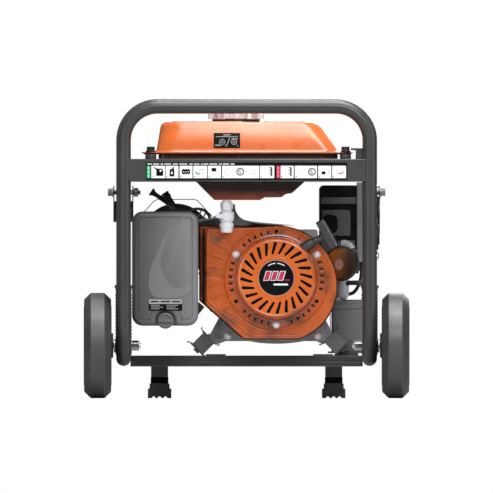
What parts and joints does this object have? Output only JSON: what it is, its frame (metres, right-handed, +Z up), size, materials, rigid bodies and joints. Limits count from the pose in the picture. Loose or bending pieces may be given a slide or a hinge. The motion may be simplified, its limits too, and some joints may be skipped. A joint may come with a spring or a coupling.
{
  "type": "portable generator",
  "caption": "Open frame petrol generator with recoil starter, orange fuel tank, side control panel, two wheels and folding handles.",
  "frame": {"origin": "on the ground, under the middle of the overall box", "axes": "+X to the right and +Z up when the recoil starter faces the viewer, +Y away from the viewer along the crankshaft"},
  "size_m": [0.554, 0.64, 0.5086],
  "materials": {
    "frame_paint": "dark grey metallic powder coat",
    "orange_paint": "glossy orange enamel",
    "tank_dark": "glossy black enamel",
    "muffler_paint": "heat resistant black paint",
    "sheet_zinc": "passivated sheet steel",
    "bright_zinc": "bright zinc plate",
    "chrome": "polished chrome plate",
    "machined_steel": "machined steel",
    "cast_aluminium": "sand cast aluminium",
    "black_bolt": "black oxide",
    "dark_plastic": "satin dark grey moulded plastic",
    "black_plastic": "satin black moulded plastic",
    "battery_plastic": "dark grey polypropylene",
    "yellow_plastic": "yellow moulded plastic",
    "wheel_plastic": "black moulded nylon",
    "tyre_rubber": "solid rubber",
    "rubber": "moulded rubber",
    "foam": "open cell foam",
    "laminated_steel": "varnished laminations"
  },
  "bodies": {
    "frame": {"near_hoop": "frame_paint", "far_hoop": "frame_paint", "side_rails": "frame_paint", "crossmembers": "frame_paint", "bottom_crossbars": "frame_paint", "rubber_feet": "rubber", "axle_brackets": "frame_paint", "wheel_axles": "chrome", "handle_bolts": "black_bolt", "handle_pads": "black_plastic", "tank_upper_shell": "orange_paint", "tank_lower_shell": "tank_dark", "tank_mounts": "rubber", "tank_bolts": "black_bolt", "filler_neck": "black_plastic", "fuel_valve": "bright_zinc", "cylinder_block": "cast_aluminium", "cylinder_head": "cast_aluminium", "valve_cover": "sheet_zinc", "piston": "machined_steel", "spark_plug_cap": "rubber", "blower_housing": "orange_paint", "top_baffle": "sheet_zinc", "recoil_cover": "orange_paint", "housing_bolts": "bright_zinc", "starter_motor": "muffler_paint", "carburetor": "cast_aluminium", "air_cleaner_base": "black_plastic", "air_cleaner_cover": "dark_plastic", "air_filter": "foam", "muffler": "muffler_paint", "muffler_shield": "sheet_zinc", "alternator_frame": "laminated_steel", "alternator_end_cover": "cast_aluminium", "engine_mounts": "rubber", "panel_face": "frame_paint", "panel_box": "black_plastic", "panel_outlets": "black_plastic", "battery": "battery_plastic"},
    "left_wheel": {"left_tyre": "tyre_rubber", "left_rim": "wheel_plastic"},
    "right_wheel": {"right_tyre": "tyre_rubber", "right_rim": "wheel_plastic"},
    "left_handle_arm": {"left_handle": "frame_paint", "left_grip": "rubber"},
    "right_handle_arm": {"right_handle": "frame_paint", "right_grip": "rubber"},
    "fuel_cap": {"fuel_cap": "chrome"},
    "fuel_valve_lever": {"fuel_valve_lever": "bright_zinc"},
    "crank_train": {"crankshaft": "machined_steel", "flywheel": "cast_aluminium", "alternator_rotor": "laminated_steel"},
    "recoil_pulley": {"recoil_pulley": "black_plastic"},
    "recoil_handle": {"recoil_handle": "black_plastic"},
    "air_cleaner_knob": {"air_cleaner_knob": "dark_plastic"},
    "choke_lever": {"choke_lever": "black_plastic"},
    "oil_dipstick": {"oil_dipstick": "yellow_plastic"},
    "engine_switch": {"engine_switch": "black_plastic"},
    "near_breaker_button": {"near_breaker_button": "black_plastic"},
    "far_breaker_button": {"far_breaker_button": "black_plastic"}
  },
  "joints": [
    {"name": "left_wheel_spin", "type": "hinge", "parent": "frame", "child": "left_wheel", "pos_m": [-0.25, -0.2305, 0.0895], "axis": [1, 0, 0], "continuous": true},
    {"name": "right_wheel_spin", "type": "hinge", "parent": "frame", "child": "right_wheel", "pos_m": [0.25, -0.2305, 0.0895], "axis": [1, 0, 0], "continuous": true},
    {"name": "left_handle_fold", "type": "hinge", "parent": "frame", "child": "left_handle_arm", "pos_m": [-0.2092, 0.2755, 0.35], "axis": [1, 0, 0], "range_deg": [0, 90]},
    {"name": "right_handle_fold", "type": "hinge", "parent": "frame", "child": "right_handle_arm", "pos_m": [0.2092, 0.2755, 0.35], "axis": [1, 0, 0], "range_deg": [0, 90]},
    {"name": "fuel_cap_turn", "type": "hinge", "parent": "frame", "child": "fuel_cap", "pos_m": [-0.018, -0.04, 0.48], "axis": [0, 0, 1], "range_deg": [0, 90]},
    {"name": "fuel_valve_turn", "type": "hinge", "parent": "frame", "child": "fuel_valve_lever", "pos_m": [-0.034, -0.229, 0.3095], "axis": [0, 1, 0], "range_deg": [-90, 0]},
    {"name": "crank_spin", "type": "hinge", "parent": "frame", "child": "crank_train", "pos_m": [0.0505, -0.07, 0.2043], "axis": [0, 1, 0], "continuous": true},
    {"name": "recoil_pull", "type": "slide", "parent": "frame", "child": "recoil_handle", "axis": [0.8711, 0, 0.4911], "range_m": [0, 0.6], "stiffness_N_per_m": 15, "springref_m": -0.4},
    {"name": "recoil_pulley_turn", "type": "hinge", "parent": "frame", "child": "recoil_pulley", "pos_m": [0.0505, -0.2155, 0.2043], "axis": [0, 1, 0], "range_deg": [0, 770]},
    {"name": "air_cleaner_knob_turn", "type": "hinge", "parent": "frame", "child": "air_cleaner_knob", "pos_m": [-0.138, -0.245, 0.132], "axis": [0, 1, 0], "range_deg": [0, 90]},
    {"name": "choke_turn", "type": "hinge", "parent": "frame", "child": "choke_lever", "pos_m": [-0.1253, -0.164, 0.2751], "axis": [1, 0, 0], "range_deg": [0, 60]},
    {"name": "oil_dipstick_turn", "type": "hinge", "parent": "frame", "child": "oil_dipstick", "pos_m": [-0.042, -0.04, 0.15], "axis": [-0.866, 0, 0.5], "range_deg": [0, 360]},
    {"name": "engine_switch_tilt", "type": "hinge", "parent": "frame", "child": "engine_switch", "pos_m": [0.2207, 0.014, 0.33], "axis": [0, 1, 0], "range_deg": [-20, 0]},
    {"name": "near_breaker_push", "type": "slide", "parent": "frame", "child": "near_breaker_button", "axis": [1, 0, 0], "range_m": [0, 0.004]},
    {"name": "far_breaker_push", "type": "slide", "parent": "frame", "child": "far_breaker_button", "axis": [1, 0, 0], "range_m": [0, 0.004]}
  ],
  "couplings": [
    {"joint": "recoil_pulley_turn", "follows": "recoil_pull", "rad_per_m": 22.2}
  ]
}
